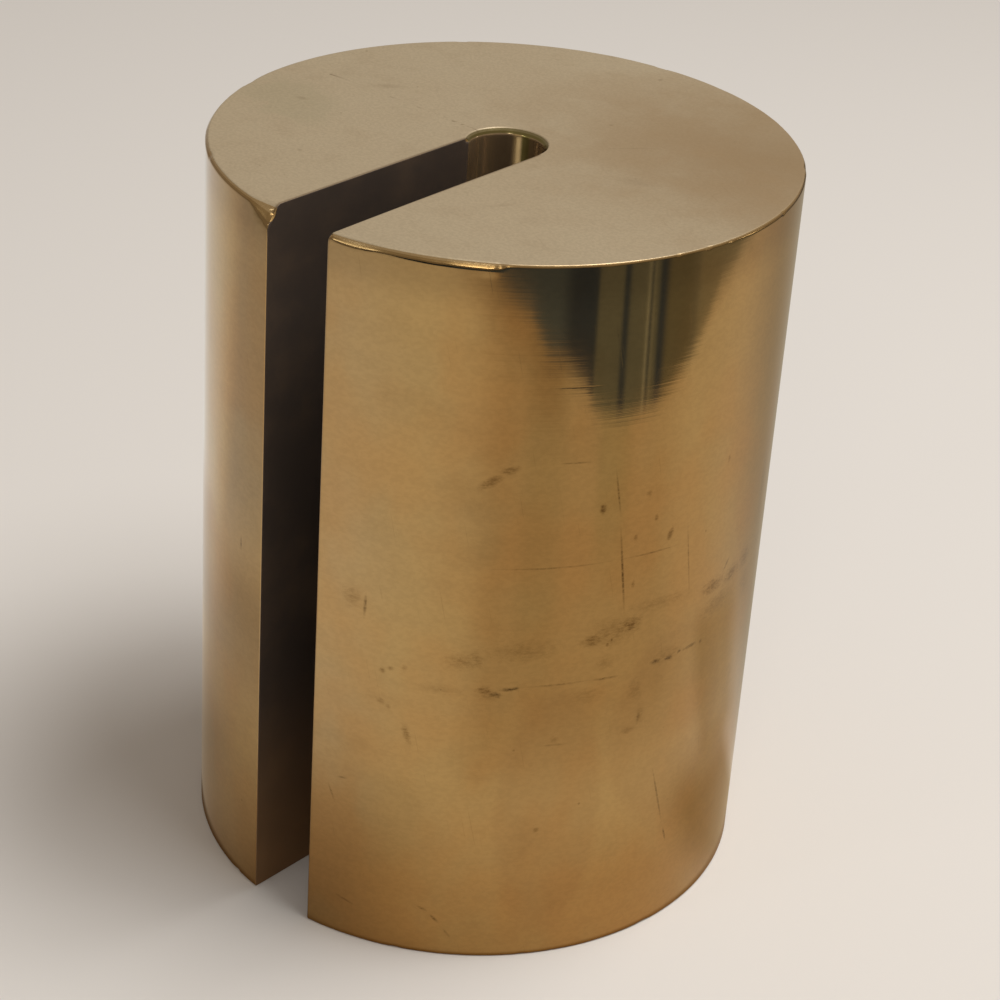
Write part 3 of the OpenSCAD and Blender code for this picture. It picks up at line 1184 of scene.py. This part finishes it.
# A painted reflection: a dark table past the cloth, with pale things on it, that only mirror images show
TABLE_TONE = tone(54, 68, 96)
TABLE = (
    Patch(tone(80, 97, 124), (-70, -60, -29, -22)),
    # Painted reflections of the pale things that stand on the table, with dark gaps and bright lines
    Patch(tone(106, 114, 120), (-15, -13.6, 8, 9.6)),
    Patch(TABLE_TONE, (-5.2, -3.9, -3.1, -1.6)),
    Patch(tone(166, 176, 184), (4.2, 4.7, 4.8, 5.3)),
    Patch(TABLE_TONE, (5.4, 5.8, 6, 6.5)),
    Patch(tone(138, 146, 150), (6.3, 6.8, 6.9, 7.4)),
    Patch(tone(108, 110, 106), (10, 14, 22, 28)),
    Patch(tone(136, 138, 134), (21, 28, 70, 80)),
)


@dataclass
class Stage:
    """A plain pale floor, soft light and a pale surround.

    The side of the weight mirrors the floor, and only the metal sees the painted shade and light on the floor's pale
    cloth.
    Past that cloth, off to the right, the mirror image is of a painted dark table, which only the metal sees too.
    """

    floor_radius: float = 6000.0
    floor_points: int = 96
    floor_colour: Colour = (0.775, 0.752, 0.725)
    # Painted shade, penumbra and contact shadow, which only mirror images show
    shade_colour: Colour = (0.38, 0.30, 0.22)
    penumbra_colour: Colour = (0.34, 0.25, 0.17)
    base_shadow_colour: Colour = (0.36, 0.27, 0.18)
    table_edge: float = 158.0
    surround: Colour = (1.0, 0.88, 0.76)
    surround_level: float = 0.30
    seen_surround: Colour = (0.86, 0.855, 0.85)
    lamps: tuple[SoftLamp, ...] = (
        SoftLamp("lamp_right", 56.0, 69.0, 700.0, 330.0, 1.9, (1.0, 0.98, 0.95)),
        SoftLamp("lamp_back", 16.0, 69.0, 700.0, 330.0, 1.9, (1.0, 0.98, 0.95)),
        SoftLamp("lamp_left", 258.0, 27.4, 500.0, 80.0, 0.05, (0.93, 0.97, 1.0)),
        SoftLamp("lamp_front", -58.3, 36.9, 700.0, 120.0, 0.18, (1.0, 0.97, 0.92)),
        SoftLamp("lamp_low", 50.6, 15.1, 700.0, 90.0, 0.10, (1.0, 0.97, 0.92)),
    )

    @staticmethod
    def patched(d: Desk, around: tuple[Socket, Socket, Socket], colour: Value, patches: Iterable[Patch]) -> Value:
        """Lays patches of tone over a colour.

        Args:
            d: Where the nodes go.
            around: The angle from -180 degrees, that from 0 degrees, and the distance in millimetres.
            colour: The colour below them.
            patches: The patches, the lowest first.

        Returns:
            The colour that shows.
        """
        angle, whole, far = around
        for patch in patches:
            masks = [d.step(far, start, full) for start, full in patch.rings]
            if patch.sector:
                masks.append(d.band(whole if patch.sector[-1] > 180 else angle, *patch.sector))
            colour = d.coat(colour, (d.times(*masks), patch.share, patch.colour))
        return colour

    def mirrored(self, d: Desk) -> Socket:
        """Works out the floor's mirror-image colour: pale cloth with painted shade and light, a painted dark table
        past it.

        The cloth's edge runs across at table_edge to the right, bowed away at both ends, with a bulge in front.

        Args:
            d: Where the nodes go.

        Returns:
            The colour.
        """
        place = d.scale(d.place(), 1 / MM)
        x, y, _ = d.split(place)
        angle, far = d.degrees(place), d.vector("LENGTH", place)
        whole = d.sum("ADD", angle, d.times(d.sum("LESS_THAN", angle, 0.0), 360.0))
        around = angle, whole, far
        front = d.band(whole, 248.0, 270.0, 276.0, 308.0)
        near = d.stack(d.times(d.step(far, 66.0, 34.0), 0.65), (d.step(far, 110.0, 45.0), 0.35))
        bow = d.sum("MAXIMUM", d.sum("SUBTRACT", d.sum("ABSOLUTE", y), 122.0), 0.0)
        bulge = d.band(angle, -32.0, -24.0, -18.0, -12.0)
        out = d.stack(x, (bow, 0.47), (bulge, -6.0))
        penumbra = d.times(d.band(angle, -84.0, -56.0, -28.0, -20.0), d.step(out, 122.0, 160.0))
        beyond = d.step(out, self.table_edge - 3, self.table_edge + 3)
        # Painted in mirror images alone: shade in front near the weight, a penumbra by the table's edge, a contact
        # shadow round the base, and the table
        return d.coat(
            self.patched(d, around, self.floor_colour, MIRRORED_CLOTH_SHADING),
            (d.times(front, near), 0.55, self.shade_colour),
            (penumbra, 0.62, self.penumbra_colour),
            # A painted contact shadow round the base
            (d.step(far, 32.3, 31.7), 1, self.base_shadow_colour),
            (beyond, 1, self.patched(d, around, TABLE_TONE, TABLE)),
        )

    def floor(self) -> None:
        """Lays the floor, a disc whose rim is a circle of points. Its painted shade and light show in mirrors alone.
        """
        material = bpy.data.materials.new("pale_cloth")
        d = Desk.cleared(material)
        colour = d.mix(d.lay("LightPath", {}).outputs["Is Glossy Ray"], self.floor_colour, self.mirrored(d))
        shader = d.lay("BsdfPrincipled", {"Base Color": colour, "Roughness": 0.9, "Specular IOR Level": 0.1})
        d.lay("OutputMaterial", {0: shader.outputs[0]})
        turn = np.linspace(0, 2 * np.pi, self.floor_points, endpoint=False)
        rim = np.stack([np.cos(turn), np.sin(turn), np.zeros_like(turn)], 1) * self.floor_radius * MM
        mesh = bpy.data.meshes.new("floor")
        mesh.from_pydata(rim.tolist(), [], [tuple(range(self.floor_points))])
        mesh.materials.append(material)
        floor = bpy.data.objects.new("floor", mesh)
        bpy.context.scene.collection.objects.link(floor)

    def surroundings(self) -> None:
        """Sets the world: soft light from all round, which the camera sees as a pale surround."""
        world = bpy.data.worlds.new("surround")
        bpy.context.scene.world = world
        d = Desk.cleared(world)
        seen = d.lay("LightPath", {}).outputs["Is Camera Ray"]
        colour = d.mix(seen, self.surround, self.seen_surround)
        level = d.blend(seen, self.surround_level, 1.0)
        d.lay("OutputWorld", {0: d.lay("Background", {"Color": colour, "Strength": level}).outputs[0]})

    def build(self) -> None:
        """Lays the floor, hangs the lamps and sets the camera."""
        self.floor()
        self.surroundings()
        for lamp in self.lamps:
            lamp.build()
        Camera().build()
        LOG.info("stage: floor, surround, %d soft lamps", len(self.lamps))


def dress_weight() -> None:
    """Builds the weight with its finishes, from the CAD node's own size."""
    low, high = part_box("weight_body")
    radius, height = high[0] / MM, (high[2] - low[2]) / MM
    scuffs = Mark(11.0, 14.0, 5.5, 3.4, -22.0, 0.16, 1.6, 1.0)
    finishes = {
        Skin.SIDE: TurnedSide("turned_side", tone(181, 148, 94), roughness=0.075, radius=radius),
        Skin.TOP: OxidisedFace("oxidised_face", tone(177, 160, 131), roughness=0.5, spots=TOP_SPOTS),
        Skin.BASE: OxidisedFace("scuffed_base", tone(150, 126, 88), roughness=0.42, green=scuffs),
        Skin.SLOT: SlotWall("slot_wall", tone(104, 92, 83), roughness=0.4),
        Skin.SEAT: DrilledSeat("drilled_seat", tone(164, 140, 108), roughness=0.16),
    }
    effects = Effects()
    WeightBody(radius, height, {skin: finish.build(effects) for skin, finish in finishes.items()}).build()


def main() -> None:
    """Builds the stage and the weight in order."""
    logging.basicConfig(level=logging.INFO, format="%(name)s: %(message)s")
    bpy.context.scene.view_settings.view_transform = "Standard"
    Stage().build()
    dress_weight()


if __name__ == "__main__":
    main()
